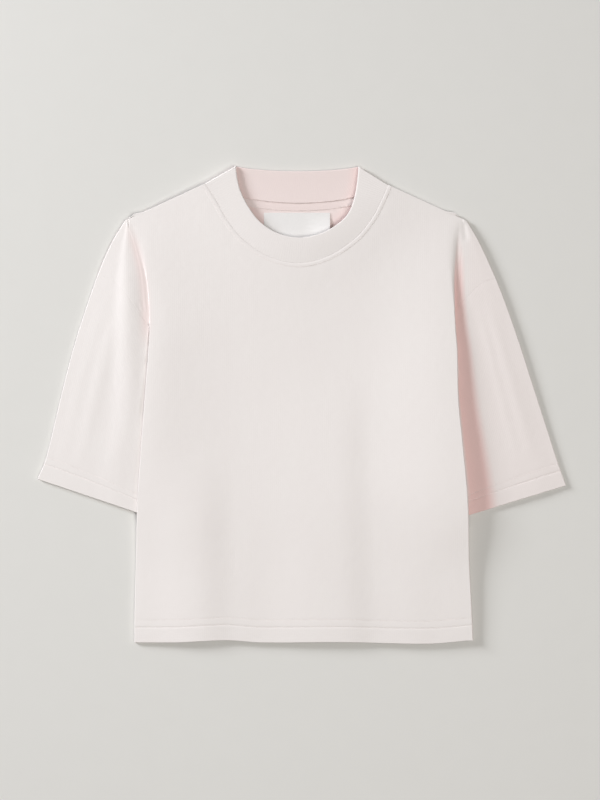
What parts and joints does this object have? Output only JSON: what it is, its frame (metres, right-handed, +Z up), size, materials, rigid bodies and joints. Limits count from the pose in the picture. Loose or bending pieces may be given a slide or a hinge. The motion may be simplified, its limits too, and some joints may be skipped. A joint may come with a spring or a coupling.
{
  "type": "cropped t-shirt",
  "caption": "Boxy cropped T-shirt in pale pink jersey with dropped shoulders, elbow-length sleeves and a rib collar, laid flat face up.",
  "frame": {"origin": "on the surface that the garment lies on, under the middle of its outline seen from above", "axes": "+Z up from the surface, out of the garment's front; +Y from the hem to the neck; +X to the right seen from above, across the spread sleeves. Left and right in node names are as seen from above, so sleeve_left is at -X."},
  "size_m": [0.6334, 0.5714, 0.0143],
  "materials": {
    "jersey": "matt single jersey, pale pink",
    "rib": "matt rib knit, pale pink",
    "label": "smooth woven label, white and blank"
  },
  "bodies": {
    "root": {"front": "jersey", "back": "jersey", "sleeve_left": "jersey", "sleeve_right": "jersey", "collar": "rib", "neck_tape": "jersey", "label": "label"}
  },
  "joints": []
}
